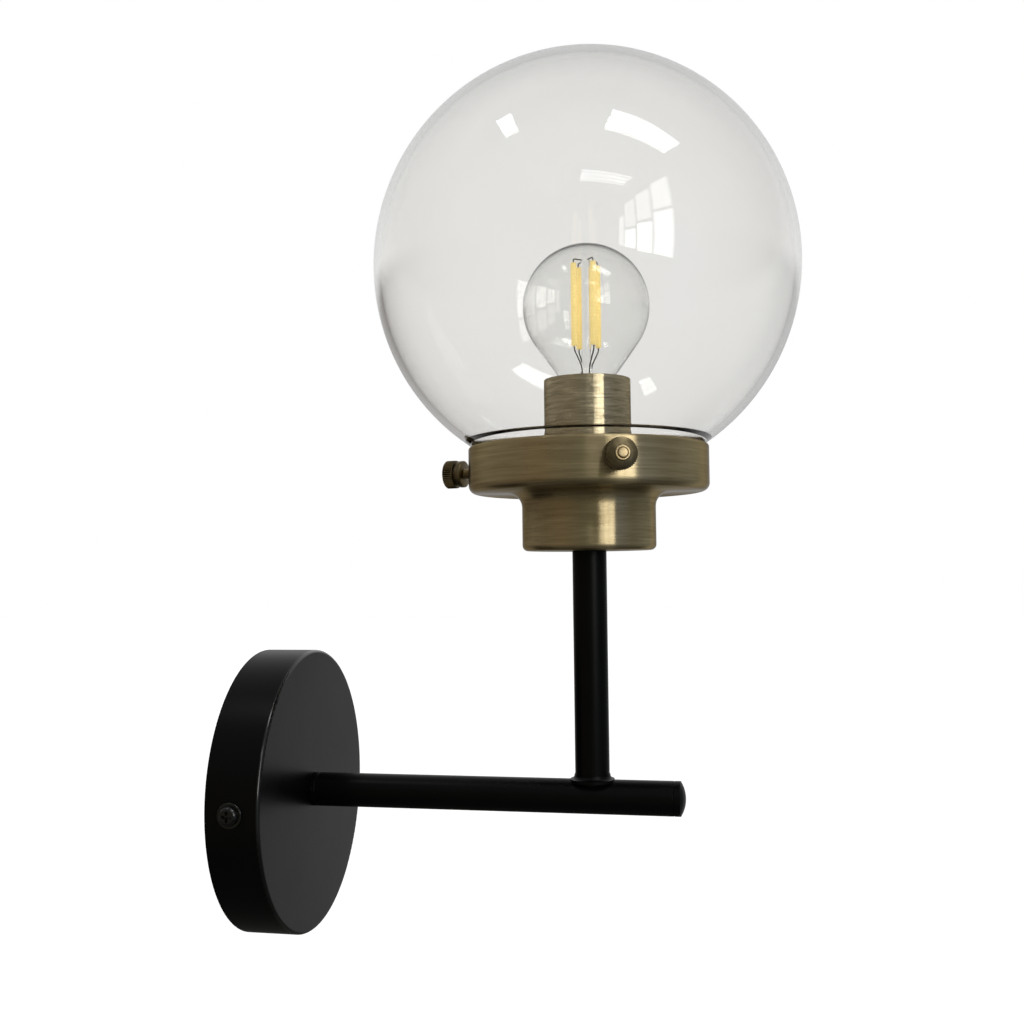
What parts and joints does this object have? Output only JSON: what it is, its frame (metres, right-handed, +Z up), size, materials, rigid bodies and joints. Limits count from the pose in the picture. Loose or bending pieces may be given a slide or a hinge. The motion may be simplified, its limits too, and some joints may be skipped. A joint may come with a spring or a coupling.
{
  "type": "wall lamp",
  "caption": "Wall lamp with a round black canopy, a tube arm with an upright stem, and a clear glass globe held by thumb screws in a stepped antique brass gallery.",
  "frame": {"origin": "centre of the wall fixing, on the wall, between the bracket's two wall slots", "axes": "+Y into the wall, so the arm stands out along -Y; +Z up along the stem; +X to the right when facing the wall"},
  "size_m": [0.15, 0.1962, 0.311],
  "materials": {
    "black_paint": "satin black powder coat",
    "zinc_steel": "zinc-plated steel",
    "antique_brass": "antique brass, brushed round and lacquered",
    "thumb_brass": "dark antique brass, knurled",
    "stud_brass": "worn antique brass",
    "contact_brass": "bright pressed brass",
    "globe_glass": "clear blown glass",
    "bulb_glass": "thin clear glass",
    "block_plastic": "off-white moulded nylon",
    "holder_plastic": "black moulded thermoset",
    "cap_metal": "rolled and plated",
    "solder": "dull solder",
    "cap_insulator": "black insulating glass",
    "filament_phosphor": "yellow phosphor coat",
    "lead_metal": "drawn wire",
    "driver_board": "green circuit board",
    "live_insulation": "brown insulation",
    "neutral_insulation": "blue insulation",
    "earth_insulation": "green and yellow insulation"
  },
  "bodies": {
    "fixture": {"canopy": "black_paint", "canopy_side_screws": "black_paint", "wall_bracket": "zinc_steel", "earth_lug": "contact_brass", "earth_washer": "zinc_steel", "earth_screw": "zinc_steel", "terminal_block": "block_plastic", "terminal_inserts": "contact_brass", "terminal_screws": "zinc_steel", "terminal_block_screw": "zinc_steel", "arm_nipple": "zinc_steel", "arm_lock_washer": "zinc_steel", "arm_nut": "zinc_steel", "arm_root_ring": "black_paint", "arm_tube": "black_paint", "arm_end_cap": "black_paint", "stem_collar": "black_paint", "stem_tube": "black_paint", "stem_nipple": "zinc_steel", "gallery": "antique_brass", "stem_lock_washer": "zinc_steel", "stem_nut": "zinc_steel", "lampholder_sleeve": "antique_brass", "lampholder_base": "holder_plastic", "lampholder_body": "holder_plastic", "screw_shell": "contact_brass", "centre_contact": "contact_brass", "side_contact": "contact_brass", "lampholder_terminals": "contact_brass", "lampholder_terminal_screws": "zinc_steel", "live_wire": "live_insulation", "neutral_wire": "neutral_insulation", "earth_wire": "earth_insulation"},
    "globe": {"glass_globe": "globe_glass", "glass_neck": "globe_glass"},
    "bulb_seat": {"bulb_contact": "solder"},
    "bulb": {"bulb_insulator": "cap_insulator", "bulb_cap": "cap_metal", "bulb_glass": "bulb_glass", "bulb_mount_stem": "bulb_glass", "bulb_filaments": "filament_phosphor", "bulb_lead_wires": "lead_metal", "bulb_driver": "driver_board"},
    "thumb_stud_1": {"thumb_stud_1": "stud_brass"},
    "thumb_head_1": {"thumb_head_1": "thumb_brass"},
    "thumb_stud_2": {"thumb_stud_2": "stud_brass"},
    "thumb_head_2": {"thumb_head_2": "thumb_brass"},
    "thumb_stud_3": {"thumb_stud_3": "stud_brass"},
    "thumb_head_3": {"thumb_head_3": "thumb_brass"}
  },
  "joints": [
    {"name": "globe_lift", "type": "slide", "parent": "fixture", "child": "globe", "axis": [0, 0, 1], "range_m": [0, 0.115]},
    {"name": "bulb_rise", "type": "slide", "parent": "fixture", "child": "bulb_seat", "axis": [0, 0, 1], "range_m": [0, 0.0113]},
    {"name": "bulb_turn", "type": "hinge", "parent": "bulb_seat", "child": "bulb", "pos_m": [0, -0.1212, 0.15], "axis": [0, 0, 1], "range_deg": [0, 1440]},
    {"name": "thumb_1_travel", "type": "slide", "parent": "fixture", "child": "thumb_stud_1", "axis": [-0.9455, -0.3256, 0], "range_m": [0, 0.00141]},
    {"name": "thumb_1_turn", "type": "hinge", "parent": "thumb_stud_1", "child": "thumb_head_1", "pos_m": [0, -0.1212, 0.1146], "axis": [-0.9455, -0.3256, 0], "range_deg": [0, 720]},
    {"name": "thumb_2_travel", "type": "slide", "parent": "fixture", "child": "thumb_stud_2", "axis": [0.7547, -0.6561, 0], "range_m": [0, 0.00141]},
    {"name": "thumb_2_turn", "type": "hinge", "parent": "thumb_stud_2", "child": "thumb_head_2", "pos_m": [0, -0.1212, 0.1146], "axis": [0.7547, -0.6561, 0], "range_deg": [0, 720]},
    {"name": "thumb_3_travel", "type": "slide", "parent": "fixture", "child": "thumb_stud_3", "axis": [0.1908, 0.9816, 0], "range_m": [0, 0.00141]},
    {"name": "thumb_3_turn", "type": "hinge", "parent": "thumb_stud_3", "child": "thumb_head_3", "pos_m": [0, -0.1212, 0.1146], "axis": [0.1908, 0.9816, 0], "range_deg": [0, 720]}
  ],
  "couplings": [
    {"joint": "bulb_rise", "follows": "bulb_turn", "m_per_rad": 0.00044882},
    {"joint": "thumb_1_travel", "follows": "thumb_1_turn", "m_per_rad": 0.00011141},
    {"joint": "thumb_2_travel", "follows": "thumb_2_turn", "m_per_rad": 0.00011141},
    {"joint": "thumb_3_travel", "follows": "thumb_3_turn", "m_per_rad": 0.00011141}
  ]
}
